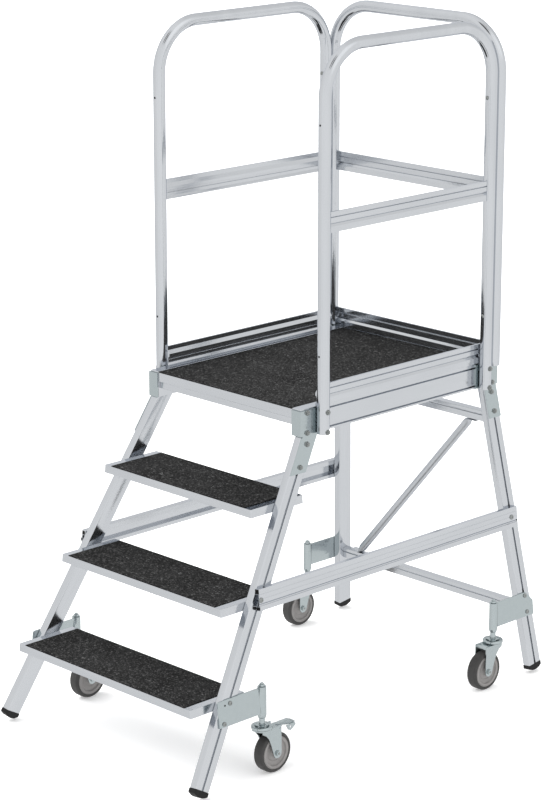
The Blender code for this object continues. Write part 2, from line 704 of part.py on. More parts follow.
# --- Castors ------------------------------------------------------------------
def add_socket(name, leg, castor_y):
    """Spring housing tube welded to the plate that is bolted on the leg's outer face."""
    towards_leg = 1 if leg.foot_y > 0 else -1
    inner_bore = SOCKET_RADIUS - 0.0022
    mouth = GUIDE_RADIUS + RUNNING
    profile = [(SOCKET_RADIUS, SOCKET_TOP_Z), (SOCKET_RADIUS, SOCKET_BOTTOM_Z + 0.009),
               (mouth + 0.0015, SOCKET_BOTTOM_Z), (mouth, SOCKET_BOTTOM_Z),
               (mouth, SOCKET_BOTTOM_Z + 0.004), (inner_bore, SOCKET_BOTTOM_Z + 0.010),
               (inner_bore, SOCKET_TOP_Z - 0.003), (0.0056, SOCKET_TOP_Z - 0.003),
               (0.0056, SOCKET_TOP_Z)]
    socket = make_object(name, turned(profile, 20), "zinc", smooth=True)
    socket.location = (leg.side * CASTOR_X, castor_y, 0)
    slope_up = Vector((-leg.side * SPLAY, 0, 1)).normalized()
    middle_z = (PLATE_TOP_Z + PLATE_BOTTOM_Z) / 2
    half_h = (PLATE_TOP_Z - PLATE_BOTTOM_Z) / 2
    far_end = leg.centre(middle_z).y + towards_leg * 0.030
    near_end = castor_y + towards_leg * (SOCKET_RADIUS - 0.0012)
    chamfer = 0.030 if towards_leg > 0 else 0.004
    corners = [(near_end, -half_h), (far_end, -half_h), (far_end, half_h - chamfer),
               (far_end - towards_leg * chamfer, half_h), (near_end, half_h)]
    outward = leg.outward
    origin = leg.face_point(middle_z, LEG_THICKNESS / 2 + GAP)
    origin.y = 0
    bm = prism([corners], origin, Vector((0, 1, 0)), slope_up,
               (origin, outward), (origin + outward * PLATE_THICKNESS, outward))
    plate = make_object(name + "_plate", bm, "zinc")
    boolean(socket, plate, "UNION")
    return socket


def add_stem(name, socket):
    """Sprung stem: nut above the socket, rod, guide, swivel race and the kingpin below it."""
    nut = SOCKET_TOP_Z + GAP
    seat = SOCKET_BOTTOM_Z + 0.016
    profile = [(0.0, nut + 0.010), (0.0045, nut + 0.010), (0.0045, nut + 0.006),
               (0.0080, nut + 0.006), (0.0080, nut), (0.0050, nut), (0.0050, seat),
               (GUIDE_RADIUS, seat), (GUIDE_RADIUS, RACE_TOP_Z + 0.002), (0.0125, RACE_TOP_Z),
               (0.0285, RACE_TOP_Z), (0.0300, RACE_TOP_Z - 0.002), (0.0300, RACE_BOTTOM_Z + 0.002),
               (0.0280, RACE_BOTTOM_Z), (KINGPIN_RADIUS, RACE_BOTTOM_Z),
               (KINGPIN_RADIUS, CROWN_BOTTOM_Z - GAP), (0.0065, CROWN_BOTTOM_Z - GAP),
               (0.0065, CROWN_BOTTOM_Z - 0.0025), (0.0, CROWN_BOTTOM_Z - 0.0025)]
    stem = make_object(name, turned(profile, 20), "zinc", smooth=True)
    stem.location = socket.location
    return stem


def fork_leg_outline():
    """Side view of a fork leg: t runs from the swivel axis towards the axle."""
    eye = 0.0145
    eye_arc = arc((CASTOR_TRAIL, WHEEL_RADIUS), eye, -pi * 0.95, 0.06, 8)
    front_top = (-0.016, CROWN_TOP_Z)
    rear_top = (0.052, CROWN_TOP_Z)
    front_curve = [(-0.016, 0.125), (-0.004, 0.118), (0.006, 0.106), (0.014, 0.088)]
    return [rear_top, front_top] + front_curve + eye_arc + [(0.0535, 0.090)]


def add_fork(name, braked):
    """Crown, two legs and the axle bolt, all in one with the bolt pressed in."""
    inner = TYRE_WIDTH / 2 + 0.0025
    leg_thickness = 0.0030
    crown = turned([(0.0, CROWN_TOP_Z), (0.027, CROWN_TOP_Z), (0.027, CROWN_BOTTOM_Z),
                    (0.0, CROWN_BOTTOM_Z)], 24)
    fork = make_object(name, crown, "zinc", smooth=True)
    half_width = inner + leg_thickness
    bridge = prism([rectangle(-half_width + 0.001, half_width - 0.001, -0.016, 0.040)],
                   Vector((0, 0, CROWN_BOTTOM_Z)), Vector((1, 0, 0)), Vector((0, 1, 0)),
                   (Vector((0, 0, CROWN_BOTTOM_Z)), Vector((0, 0, 1))),
                   (Vector((0, 0, CROWN_TOP_Z)), Vector((0, 0, 1))))
    pieces = [make_object(name + "_bridge", bridge, "zinc")]
    for side_name, side in SIDES:
        plate = outline_plate(fork_leg_outline(), leg_thickness, side * (inner + leg_thickness / 2))
        pieces.append(make_object(f"{name}_{side_name}_leg", plate, "zinc"))
    bolt_half = half_width + 0.001
    bolt_end = half_width + 0.005
    bolt = turned([(0.0, bolt_end), (0.0075, bolt_end), (0.0075, bolt_half - 0.002),
                   (AXLE_RADIUS, bolt_half - 0.002), (AXLE_RADIUS, -bolt_half + 0.002),
                   (0.0075, -bolt_half + 0.002), (0.0075, -bolt_end), (0.0, -bolt_end)],
                  WHEEL_SIDES, "X")
    bolt_object = make_object(name + "_bolt", bolt, "zinc")
    bolt_object.location = (0, CASTOR_TRAIL, WHEEL_RADIUS)
    pieces.append(bolt_object)
    for piece in pieces:
        boolean(fork, piece, "UNION")
        piece.parent = fork
    drill_hole(fork, "kingpin", KINGPIN_RADIUS + RUNNING, Vector((0, 0, CROWN_TOP_Z)), 20, "Z")
    if braked:
        drill_hole(fork, "pivot", PEDAL_PIN_RADIUS + RUNNING, PEDAL_PIVOT, 16, "X")
    return fork


def drill_hole(obj, label, radius, position, segments, axis):
    reach = 0.05 if axis == "X" else 0.02
    drill = turned([(0.0, reach), (radius, reach), (radius, -reach), (0.0, -reach)], segments, axis)
    hole = make_object(f"{obj.name}_{label}_hole", drill, "zinc")
    hole.location = position
    hole.parent = obj
    boolean(obj, hole, "DIFFERENCE")


def add_hub(name):
    """Moulded wheel centre with a recessed disc on both faces and a bored boss."""
    rim = TYRE_INNER_RADIUS - GAP
    bore = AXLE_RADIUS + RUNNING
    half = TYRE_WIDTH / 2
    profile = [(bore, half + 0.001), (0.0112, half + 0.001), (0.0135, 0.0105), (0.0360, 0.0100), (0.0385, half - 0.0005), (rim, half - 0.0005)]
    mirrored = [(radius, -height) for radius, height in reversed(profile)]
    return make_object(name, turned(profile + mirrored, WHEEL_SIDES, "X"), "hub", smooth=True)


def add_tyre(name):
    half = TYRE_WIDTH / 2
    shoulder = 0.004
    profile = [(TYRE_INNER_RADIUS, half), (WHEEL_RADIUS - shoulder, half)]
    profile += [(WHEEL_RADIUS - 0.0018, half - 0.0012), (WHEEL_RADIUS - 0.0006, half - shoulder),
                (WHEEL_RADIUS, half * 0.35)]
    mirrored = [(radius, -height) for radius, height in reversed(profile)]
    return make_object(name, turned(profile + mirrored, WHEEL_SIDES, "X"), "tyre", smooth=True)


def add_pedal(name):
    """Brake pedal on a cross pin between the fork legs; the toe pad points backwards."""
    half_arm = 0.012
    thickness = 0.003
    side_view = [(-0.0045, 0.0022), (0.004, 0.0055), (0.032, -0.001), (0.062, -0.0075),
                 (0.066, -0.0105), (0.0645, -0.0130), (0.060, -0.0105), (0.031, -0.0042),
                 (0.004, 0.0015), (-0.0045, -0.0015)]
    arm = make_object(name, outline_plate(side_view, 2 * half_arm), "zinc")
    pad = prism([[(0.034, -half_arm - 0.0005), (0.040, -0.017), (0.058, -0.017), (0.067, -0.010),
                  (0.067, 0.010), (0.058, 0.017), (0.040, 0.017), (0.034, half_arm + 0.0005)]],
                Vector((0, 0, 0)), Vector((0, 1, -0.215)).normalized(), Vector((-1, 0, 0)),
                (Vector((0, 0.004, 0.0058)), Vector((0, 0.215, 1)).normalized()),
                (Vector((0, 0.004, 0.0058 - thickness)), Vector((0, 0.215, 1)).normalized()))
    pin_half = TYRE_WIDTH / 2 + 0.0025 + 0.0025
    pin = turned([(0.0, pin_half), (PEDAL_PIN_RADIUS, pin_half), (PEDAL_PIN_RADIUS, -pin_half),
                  (0.0, -pin_half)], 16, "X")
    for part_name, shape in (("pad", pad), ("pin", pin)):
        piece = make_object(f"{name}_{part_name}", shape, "zinc")
        piece.parent = arm
        boolean(arm, piece, "UNION")
    return arm


def add_castor(corner, leg):
    castor_y = FRONT_CASTOR_Y if leg.foot_y < 0 else REAR_CASTOR_Y
    braked = leg.foot_y < 0
    socket = add_socket("castor_socket_" + corner, leg, castor_y)
    stem = add_stem("castor_stem_" + corner, socket)
    fork = add_fork("castor_fork_" + corner, braked)
    fork.parent = stem
    fork.rotation_euler = (0, 0, 0 if leg.foot_y < 0 else pi)
    for piece in (add_hub("wheel_hub_" + corner), add_tyre("wheel_tyre_" + corner)):
        piece.parent = fork
        piece.location = (0, CASTOR_TRAIL, WHEEL_RADIUS)
    if braked:
        pedal = add_pedal("brake_pedal_" + corner)
        pedal.parent = fork
        pedal.location = PEDAL_PIVOT


# --- Assembly -----------------------------------------------------------------
def main():
    clear_scene()
    legs = make_legs()
    for corner, leg in legs.items():
        kind = "stile" if corner.startswith("front") else "rear_leg"
        side_name = corner.split("_")[1]
        add_leg(f"{kind}_{side_name}", leg)
        add_foot("foot_" + corner, leg)
        if corner.startswith("front"):
            add_bracket("corner_bracket_" + corner, leg, PLATFORM_FRONT, 1)
        else:
            add_bracket("corner_bracket_" + corner, leg, PLATFORM_REAR, -1)
        add_castor(corner, leg)
    for number in range(1, TREAD_COUNT + 1):
        add_tread(number, legs["front_right"])
    add_platform()
    add_guard_rails()
    add_side_rails(legs)
    add_cross_rail("rear_cross_rail_upper", UPPER_CROSS_Z, legs)
    add_cross_rail("rear_cross_rail_lower", LOWER_CROSS_Z, legs)
    add_brace(legs)


main()
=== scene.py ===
"""Looks of the rolling platform steps: rounded extrusions, fasteners, castors and finishes.

Metres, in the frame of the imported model. Places come from the CAD nodes.
"""

import json
from math import cos, pi, radians, sin

import bmesh
import bpy
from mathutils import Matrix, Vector
from mathutils.bvhtree import BVHTree


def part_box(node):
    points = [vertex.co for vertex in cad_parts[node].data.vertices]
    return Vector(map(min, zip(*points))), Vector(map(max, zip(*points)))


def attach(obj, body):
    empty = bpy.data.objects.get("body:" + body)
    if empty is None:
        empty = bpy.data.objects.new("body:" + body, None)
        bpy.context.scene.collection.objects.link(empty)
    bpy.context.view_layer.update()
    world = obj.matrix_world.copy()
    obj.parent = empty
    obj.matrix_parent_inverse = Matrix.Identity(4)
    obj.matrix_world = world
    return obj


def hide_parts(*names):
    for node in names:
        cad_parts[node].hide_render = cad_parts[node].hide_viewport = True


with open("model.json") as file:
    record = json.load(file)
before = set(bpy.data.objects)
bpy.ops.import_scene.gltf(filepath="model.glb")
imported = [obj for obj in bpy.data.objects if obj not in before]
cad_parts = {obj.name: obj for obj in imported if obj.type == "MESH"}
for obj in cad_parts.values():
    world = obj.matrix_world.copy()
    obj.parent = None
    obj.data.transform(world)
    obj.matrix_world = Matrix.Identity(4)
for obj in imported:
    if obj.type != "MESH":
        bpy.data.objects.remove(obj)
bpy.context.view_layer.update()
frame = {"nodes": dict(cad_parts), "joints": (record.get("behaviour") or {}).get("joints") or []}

FRAME_BODY = "ladder_frame"
SIDES = (("left", -1), ("right", 1))
CORNERS = tuple(f"{end}_{side}" for end in ("front", "rear") for side in ("left", "right"))
UP = Vector((0, 0, 1))

# Camera, as in the photograph
CAMERA_PLACE = Vector((5.2266, -5.1505, 2.9150))
CAMERA_AZIMUTH = radians(45.568)
CAMERA_DIP = radians(15.392)
CAMERA_LENS = 120.8

# Sizes that the CAD boxes don't give directly
TUBE_RADIUS = 0.0175
TUBE_WALL = 0.002
BEND_RADIUS = 0.140
WHEEL_RADIUS = 0.0575
TYRE_INNER_RADIUS = 0.047
AXLE_RADIUS = 0.006


# --- Node trees ---------------------------------------------------------------
class Shader:
    """A small helper around one material's node tree."""

    def __init__(self, name):
        self.material = bpy.data.materials.new(name)
        self.material.use_nodes = True
        self.tree = self.material.node_tree
        self.surface = self.tree.nodes["Principled BSDF"]
        self.coordinates = self.tree.nodes.new("ShaderNodeTexCoord").outputs["Object"]

    def node(self, kind, **values):
        made = self.tree.nodes.new("ShaderNode" + kind)
        for key, value in values.items():
            setattr(made, key, value)
        return made

    def join(self, source, target):
        self.tree.links.new(source, target)

    def set(self, **sockets):
        for key, value in sockets.items():
            self.surface.inputs[key.replace("_", " ")].default_value = value

    def mapped(self, scale, rotation=(0, 0, 0)):
        """Object coordinates, turned and scaled; the source of every texture."""
        mapping = self.node("Mapping", vector_type="TEXTURE")
        mapping.inputs["Rotation"].default_value = rotation
        mapping.inputs["Scale"].default_value = scale
        self.join(self.coordinates, mapping.inputs["Vector"])
        return mapping.outputs["Vector"]

    def noise(self, vector, scale=1.0, detail=3.0, roughness=0.55):
        made = self.node("TexNoise")
        made.inputs["Scale"].default_value = scale
        made.inputs["Detail"].default_value = detail
        made.inputs["Roughness"].default_value = roughness
        self.join(vector, made.inputs["Vector"])
        return made.outputs["Fac"]

    def cells(self, vector, scale):
        made = self.node("TexVoronoi")
        made.inputs["Scale"].default_value = scale
        self.join(vector, made.inputs["Vector"])
        return made

    def ramp(self, value, *stops):
        """Colour ramp from (position, grey or colour) stops."""
        made = self.node("ValToRGB")
        elements = made.color_ramp.elements
        while len(elements) < len(stops):
            elements.new(0.5)
        for element, (position, colour) in zip(elements, stops):
            element.position = position
            element.color = (*colour, 1) if isinstance(colour, tuple) else (colour,) * 3 + (1,)
        self.join(value, made.inputs["Fac"])
        return made.outputs["Color"]

    def spread(self, value, low, high, start=0.0, stop=1.0):
        """Map a value from start..stop to low..high."""
        made = self.node("MapRange")
        for key, number in (("From Min", start), ("From Max", stop),
                            ("To Min", low), ("To Max", high)):
            made.inputs[key].default_value = number
        self.join(value, made.inputs["Value"])
        return made.outputs["Result"]

    def mottle(self, value, tones):
        """Base colour that drifts between a dark and a light tone."""
        tint = self.ramp(value, (NOISE_LOW, tones[0]), (NOISE_HIGH, tones[1]))
        self.join(tint, self.surface.inputs["Base Color"])

    def gloss(self, value, smooth, rough):
        """Roughness that drifts between two values."""
        self.join(self.spread(value, smooth, rough, NOISE_LOW, NOISE_HIGH),
                  self.surface.inputs["Roughness"])

    def bump(self, height, distance, strength=1.0, below=None):
        made = self.node("Bump")
        made.inputs["Distance"].default_value = distance
        made.inputs["Strength"].default_value = strength
        self.join(height, made.inputs["Height"])
        if below is not None:
            self.join(below, made.inputs["Normal"])
        self.join(made.outputs["Normal"], self.surface.inputs["Normal"])
        return made.outputs["Normal"]


# Base colours, as dark and light ends of a faint mottle
ALUMINIUM_TONES = ((0.585, 0.605, 0.632), (0.622, 0.642, 0.668))
ZINC_TONES = ((0.448, 0.500, 0.512), (0.470, 0.522, 0.533))
FASTENER_TONES = ((0.27, 0.285, 0.28), (0.36, 0.375, 0.37))
# Share of a noise texture's range that carries nearly all of its values
NOISE_LOW = 0.3
NOISE_HIGH = 0.7
DIE_LINE_WIDTH = 0.0006
DIE_LINE_LENGTH = 0.25
GRAIN_SIZE = 0.0034
GRIT_PATCH_SIZE = 0.0052


def aluminium(name, along, roughness=0.13):
    """Anodised extrusion with fine die lines that run along the given direction."""
    shader = Shader(name)
    shader.set(Metallic=1.0, Specular_Tint=(0.72, 0.74, 0.78, 1.0))
    turn = Vector(along).to_track_quat("Z", "Y").to_euler()
    lines = shader.noise(shader.mapped((DIE_LINE_WIDTH, DIE_LINE_WIDTH, DIE_LINE_LENGTH), turn),
                         detail=2.0)
    clouds = shader.noise(shader.mapped((0.05, 0.05, 0.30), turn), detail=3.0)
    shader.mottle(clouds, ALUMINIUM_TONES)
    shader.gloss(lines, roughness - 0.03, roughness + 0.06)
    shader.bump(lines, 0.00002)
    return shader.material


def zinc(name):
    """Zinc-plated pressed steel: slightly green, faintly mottled, satin."""
    shader = Shader(name)
    shader.set(Metallic=1.0, Specular_Tint=(0.75, 0.77, 0.77, 1.0))
    mottle = shader.noise(shader.mapped((0.012, 0.012, 0.012)), detail=4.0)
    grain = shader.noise(shader.mapped((0.0008, 0.0008, 0.0008)), detail=2.0)
    shader.mottle(mottle, ZINC_TONES)
    shader.gloss(mottle, 0.15, 0.24)
    shader.bump(grain, 0.00003)
    return shader.material


def fastener_steel(name):
    """Duller, darker steel of the bolts and nuts."""
    shader = Shader(name)
    shader.set(Metallic=1.0)
    grain = shader.noise(shader.mapped((0.0015, 0.0015, 0.0015)), detail=2.0)
    shader.mottle(grain, FASTENER_TONES)
    shader.gloss(grain, 0.25, 0.42)
    return shader.material


def grit(name):
    """Black anti-slip sheet: sharp mineral grains, a few of them paler."""
    shader = Shader(name)
    shader.set(Specular_IOR_Level=0.14)
    grains = shader.cells(shader.mapped((GRAIN_SIZE,) * 3), 1.0)
    patches = shader.noise(shader.mapped((GRIT_PATCH_SIZE,) * 3), detail=5.0, roughness=0.7)
    wear = shader.noise(shader.mapped((0.11, 0.11, 0.11)), detail=3.0)
    speck = shader.ramp(grains.outputs["Color"], (0.30, 0.004), (0.66, 0.018), (0.94, 0.090))
    dust = shader.ramp(patches, (0.42, 0.25), (0.66, 1.9))
    base = shader.node("Mix", data_type="RGBA", blend_type="MULTIPLY")
    base.inputs["Factor"].default_value = 1.0
    shader.join(speck, base.inputs[6])
    shader.join(dust, base.inputs[7])
    shader.join(base.outputs[2], shader.surface.inputs["Base Color"])
    shader.gloss(wear, 0.66, 0.84)
    coarse = shader.bump(grains.outputs["Distance"], 0.0006, 0.6)
    shader.bump(patches, 0.0010, 0.8, coarse)
    return shader.material


def moulded(name, colour, roughness, gloss=0.35, grain=0.0012, depth=0.00008, variation=0.15):
    """Rubber or plastic: a little uneven in colour and gloss, with a fine skin."""
    shader = Shader(name)
    shader.set(Specular_IOR_Level=gloss)
    clouds = shader.noise(shader.mapped((0.018, 0.018, 0.018)), detail=4.0)
    skin = shader.noise(shader.mapped((grain, grain, grain)), detail=3.0)
    shader.mottle(clouds, (tuple(c * (1 - variation) for c in colour),
                           tuple(c * (1 + variation) for c in colour)))
    shader.gloss(clouds, roughness - 0.06, roughness + 0.06)
    shader.bump(skin, depth)
    return shader.material


# --- Mesh helpers -------------------------------------------------------------
def new_piece(name, bm, material, body, smooth_angle=0.6):
    bmesh.ops.recalc_face_normals(bm, faces=bm.faces)
    mesh = bpy.data.meshes.new(name)
    bm.to_mesh(mesh)
    bm.free()
    mesh.shade_smooth()
    mesh.set_sharp_from_angle(angle=smooth_angle)
    obj = bpy.data.objects.new(name, mesh)
    bpy.context.scene.collection.objects.link(obj)
    mesh.materials.append(material)
    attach(obj, body)
    return obj


def bevel(obj, width, segments=2, angle=0.6):
    modifier = obj.modifiers.new("edges", "BEVEL")
    modifier.width = width
    modifier.segments = segments
    modifier.angle_limit = angle
    modifier.harden_normals = True


def rounded_copy(node, material, body, width=0.0008, segments=2):
    """The CAD node's shape with its sharp edges broken, in place of the node."""
    bm = bmesh.new()
    bm.from_mesh(frame["nodes"][node].data)
    bmesh.ops.remove_doubles(bm, verts=bm.verts, dist=1e-5)
    bmesh.ops.dissolve_limit(bm, angle_limit=0.002, verts=bm.verts, edges=bm.edges)
    piece = new_piece(node + "_skin", bm, material, body)
    bevel(piece, width, segments)
    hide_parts(node)
    return piece


def axes_for(direction):
    """Two unit vectors square to a direction."""
    direction = direction.normalized()
    helper = UP if abs(direction.z) < 0.9 else Vector((0, 1, 0))
    side = direction.cross(helper).normalized()
    return side, direction.cross(side)


def lathe(bm, profile, origin, axis, sides=32):
    """Turn (radius, height) points about an axis through origin and add them to bm."""
    axis = axis.normalized()
    side, other = axes_for(axis)
    rings = []
    for radius, height in profile:
        centre = origin + axis * height
        if radius == 0:
            rings.append([bm.verts.new(centre)])
            continue
        rings.append([bm.verts.new(centre + side * radius * cos(2 * pi * k / sides)
                                   + other * radius * sin(2 * pi * k / sides))
                      for k in range(sides)])
    for first, second in zip(rings, rings[1:]):
        for k in range(sides):
            n = (k + 1) % sides
            corners = [first[k % len(first)], first[n % len(first)],
                       second[n % len(second)], second[k % len(second)]]
            bm.faces.new(list(dict.fromkeys(corners)))
    return rings


def closed_lathe(bm, profile, origin, axis, sides=48):
    rings = lathe(bm, profile, origin, axis, sides)
    for k in range(sides):
        n = (k + 1) % sides
        bm.faces.new((rings[-1][k], rings[-1][n], rings[0][n], rings[0][k]))


def slab(bm, outline, origin, u_axis, v_axis, thickness):
    """A flat plate from an outline of (u, v) points, thick along u x v."""
    normal = u_axis.cross(v_axis).normalized() * thickness
    near = [bm.verts.new(origin + u_axis * u + v_axis * v) for u, v in outline]
    far = [bm.verts.new(vert.co + normal) for vert in near]
    bm.faces.new(near)
    bm.faces.new(far[::-1])
    count = len(near)
    for k in range(count):
        n = (k + 1) % count
        bm.faces.new((near[k], near[n], far[n], far[k]))


def nut(bm, origin, normal, flats=0.0115, height=0.0058, stud=0.0020, turn=0.3):
    """Washer, chamfered hexagon nut and the end of its bolt."""
    normal = normal.normalized()
    side, other = axes_for(normal)
    washer = 0.0016
    lathe(bm, [(0, 0), (flats * 0.68, 0), (flats * 0.68, 0.0009), (flats * 0.60, washer),
               (0, washer)], origin, normal, 24)
    corner = flats / 2 / cos(pi / 6)
    rings = []
    for scale, level in ((1.0, washer), (1.0, height - 0.0008), (0.86, height)):
        rings.append([bm.verts.new(origin + normal * level
                                   + side * corner * scale * cos(turn + pi / 3 * k)
                                   + other * corner * scale * sin(turn + pi / 3 * k))
                      for k in range(6)])
    for first, second in zip(rings, rings[1:]):
        for k in range(6):
            n = (k + 1) % 6
            bm.faces.new((first[k], first[n], second[n], second[k]))
    bm.faces.new(rings[-1])
    bm.faces.new(rings[0][::-1])
    shank = flats * 0.30
    lathe(bm, [(0, height - 0.001), (shank, height - 0.001), (shank, height + stud - 0.0007),
               (shank - 0.0008, height + stud), (0, height + stud)], origin, normal, 16)


def dome_head(bm, origin, normal, radius=0.0065, height=0.0035):
    """A round-headed screw or blind rivet, with a dimple in its middle."""
    profile = [(0, 0), (radius, 0), (radius, height * 0.25)]
    profile += [(radius * cos(t * pi / 8), height * (0.25 + 0.75 * sin(t * pi / 8)))
                for t in range(1, 4)]
    profile += [(radius * 0.30, height), (radius * 0.24, height * 0.75), (0, height * 0.75)]
    lathe(bm, profile, origin, normal.normalized(), 20)


# --- Finishes -----------------------------------------------------------------
LEVEL_X = aluminium("anodised_across", (1, 0, 0))
LEVEL_Y = aluminium("anodised_lengthways", (0, 1, 0))
UPRIGHT = aluminium("anodised_upright", (0, 0, 1), 0.10)
BRACE_SATIN = aluminium("anodised_brace", (0.7, 0, 0.7), 0.34)
ZINC = zinc("zinc_plate")
FASTENER = fastener_steel("fastener_steel")
GRIT = grit("gritted_sheet")
FOOT_RUBBER = moulded("foot_rubber", (0.006, 0.006, 0.0065), 0.50, gloss=0.25)
PLUG_PLASTIC = moulded("plug_plastic", (0.004, 0.004, 0.004), 0.45, gloss=0.15)
TYRE_RUBBER = moulded("tyre_rubber", (0.042, 0.041, 0.040), 0.62, depth=0.0001)
HUB_PLASTIC = moulded("hub_plastic", (0.255, 0.245, 0.24), 0.48, variation=0.08)


# --- Legs ---------------------------------------------------------------------
class LegShape:
    """Axes and faces of a leg, read from its CAD solid."""

    def __init__(self, node, side):
        points = [vert.co.copy() for vert in frame["nodes"][node].data.vertices]
        middle = sum(p.z for p in points) / len(points)
        low = [p for p in points if p.z < middle]
        high = [p for p in points if p.z >= middle]
        bottom = sum(low, Vector()) / len(low)
        top = sum(high, Vector()) / len(high)
        self.along = (top - bottom).normalized()
        splay = abs(self.along.x / self.along.z)
        self.outward = Vector((side, 0, splay)).normalized()
        self.across = self.along.cross(self.outward) * (1 if side > 0 else -1)
        self.outer = max(p.dot(self.outward) for p in points)
        reach = [p.dot(self.across) for p in points]
        self.centre = (min(reach) + max(reach)) / 2

    def on_face(self, z):
        """The point on the outer face's centre line at a height."""
        height = (z - self.outward.z * self.outer - self.across.z * self.centre) / self.along.z
        return self.outward * self.outer + self.across * self.centre + self.along * height


def add_legs():
    shapes = {}
    for side_name, side in SIDES:
        for corner, node in (("front_" + side_name, "stile_" + side_name),
                             ("rear_" + side_name, "rear_leg_" + side_name)):
            shape = LegShape(node, side)
            shapes[corner] = shape
            finish = aluminium("anodised_" + node, shape.along)
            rounded_copy(node, finish, FRAME_BODY, 0.0007)
    return shapes


def add_feet():
    for corner in CORNERS:
        rounded_copy("foot_" + corner, FOOT_RUBBER, FRAME_BODY, 0.0025, 3)


# --- Extrusions ---------------------------------------------------------------
def extrusion(name, section, origin, u_axis, v_axis, start, stop, finish, bevel_width=0.0004):
    """A closed (u, v) section drawn out from start to stop along u x v."""
    run = u_axis.cross(v_axis).normalized()
    bm = bmesh.new()
    near = [bm.verts.new(origin + u_axis * u + v_axis * v + run * start) for u, v in section]
    far = [bm.verts.new(vert.co + run * (stop - start)) for vert in near]
    count = len(section)
    for k in range(count):
        n = (k + 1) % count
        bm.faces.new((near[k], near[n], far[n], far[k]))
    bm.faces.new(near[::-1])
    bm.faces.new(far)
    piece = new_piece(name, bm, finish, FRAME_BODY, 0.35)
    bevel(piece, bevel_width, 2)
    return piece


def guard_rail_section(half_t, half_h):
    """Knee rail and toe board. The +u face has a groove above a hollow that slopes back out;
    the -u face is set back at the top, slopes out, and has its groove near the bottom."""
    slot = half_t - 0.0050
    ledge = half_t - 0.0055
    front = [(half_t, half_h), (half_t, 0.0156), (slot, 0.0156), (slot, 0.0122), (half_t, 0.0122),
             (half_t, -0.0005), (ledge, -0.0005), (ledge, -0.0038), (half_t - 0.0025, -0.0082),
             (half_t, -0.0118), (half_t, -half_h)]
    waist = -half_t + 0.0040
    back = [(-half_t, -half_h), (-half_t, -0.0250), (waist, -0.0200), (waist, -0.0105),
            (waist + 0.0022, -0.0105), (waist + 0.0022, -0.0080), (waist, -0.0080),
            (waist, -0.0035), (-half_t, -0.0030), (-half_t, 0.0060),
            (-half_t + 0.0066, 0.0165), (-half_t + 0.0066, half_h)]
    return (front + back)[::-1]


def add_guard_rail(node, outward, run):
    """A guard rail in place of its CAD node, its grooved face outward."""
    low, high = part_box(node)
    middle = (low + high) / 2
    half_t = abs((high - low).dot(outward)) / 2
    half_h = (high.z - low.z) / 2
    length = abs((high - low).dot(run)) / 2
    section = guard_rail_section(half_t, half_h)
    finish = LEVEL_X if abs(run.x) > 0.5 else LEVEL_Y
    piece = extrusion(node + "_rail", section, middle, outward, UP, -length, length, finish)
    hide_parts(node)


def grooved_side(face, low_v, high_v, grooves):
    """Points up a face at u = face, with (middle, width, depth) grooves in it."""
    points = [(face, low_v)]
    for middle, width, depth in grooves:
        points += [(face, middle - width / 2), (face - depth, middle - width / 2),
                   (face - depth, middle + width / 2), (face, middle + width / 2)]
    return points + [(face, high_v)]


BEAM_GROOVES = (0.0080, 0.0620)     # heights above the beam's bottom
BEAM_GROOVE_WIDTH = 0.0044
BEAM_GROOVE_DEPTH = 0.0100


def add_beams():
    """Platform beams: two deep grooves outside, one above and one below the middle."""
    for side_name, side in SIDES:
        node = "platform_beam_" + side_name
        low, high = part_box(node)
        half = (high.x - low.x) / 2
        middle = Vector(((low.x + high.x) / 2, (low.y + high.y) / 2, low.z))
        length = (high.y - low.y) / 2
        height = high.z - low.z
        grooves = [(middle_v, BEAM_GROOVE_WIDTH, BEAM_GROOVE_DEPTH) for middle_v in BEAM_GROOVES]
        section = grooved_side(half, 0, height, grooves) + [(-half, height), (-half, 0)]
        piece = extrusion(node + "_rail", section[::-1], middle, Vector((side, 0, 0)), UP,
                          -length, length, LEVEL_Y, 0.0006)
        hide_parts(node)


PLUG_INSET = 0.0018


def add_side_rails(legs):
    """Two tubes in one extrusion, with a hollow line near the bottom and two faint creases."""
    for side_name, side in SIDES:
        node = "side_rail_" + side_name
        low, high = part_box(node)
        leg = legs["front_" + side_name]
        outward = leg.outward
        slope_up = Vector((-side * abs(outward.z / outward.x), 0, 1)).normalized()
        points = [vert.co for vert in frame["nodes"][node].data.vertices]
        reach_u = [p.dot(outward) for p in points]
        reach_v = [p.dot(slope_up) for p in points]
        deep = max(reach_u) - min(reach_u)
        half = (max(reach_v) - min(reach_v)) / 2
        origin = outward * min(reach_u) + slope_up * (max(reach_v) + min(reach_v)) / 2
        web = 0.0035
        upper, lower = half - 0.015, -half + 0.012
        dip = -half + 0.0165
        section = [(deep, -half)]
        section += [(deep, dip - 0.0040), (deep - 0.0022, dip - 0.0022), (deep - 0.0034, dip),
                    (deep - 0.0022, dip + 0.0022), (deep, dip + 0.0040)]
        for crease in (half - 0.028, half - 0.015):
            section += [(deep, crease - 0.0007), (deep - 0.0007, crease), (deep, crease + 0.0007)]
        section += [(deep, half), (0, half), (0, upper), (deep - web, upper), (deep - web, lower),
                    (0, lower), (0, -half)]
        way = outward.cross(slope_up).y
        piece = extrusion(node + "_rail", section[::-1], origin, outward, slope_up,
                          low.y * way, high.y * way, LEVEL_Y)
        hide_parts(node)
        plugs = bmesh.new()
        base = Vector((origin.x, low.y - 0.0002, origin.z))
        near, far = PLUG_INSET, deep - PLUG_INSET
        for bottom, top in ((-half, lower), (upper, half)):
            v_low, v_high = bottom + PLUG_INSET, top - PLUG_INSET
            corners = [(near, v_low), (far, v_low), (far, v_high), (near, v_high)]
            slab(plugs, corners, base, outward, slope_up, 0.0016)
        plug = new_piece("side_rail_plugs_" + side_name, plugs, PLUG_PLASTIC, FRAME_BODY)
        bevel(plug, 0.0004)


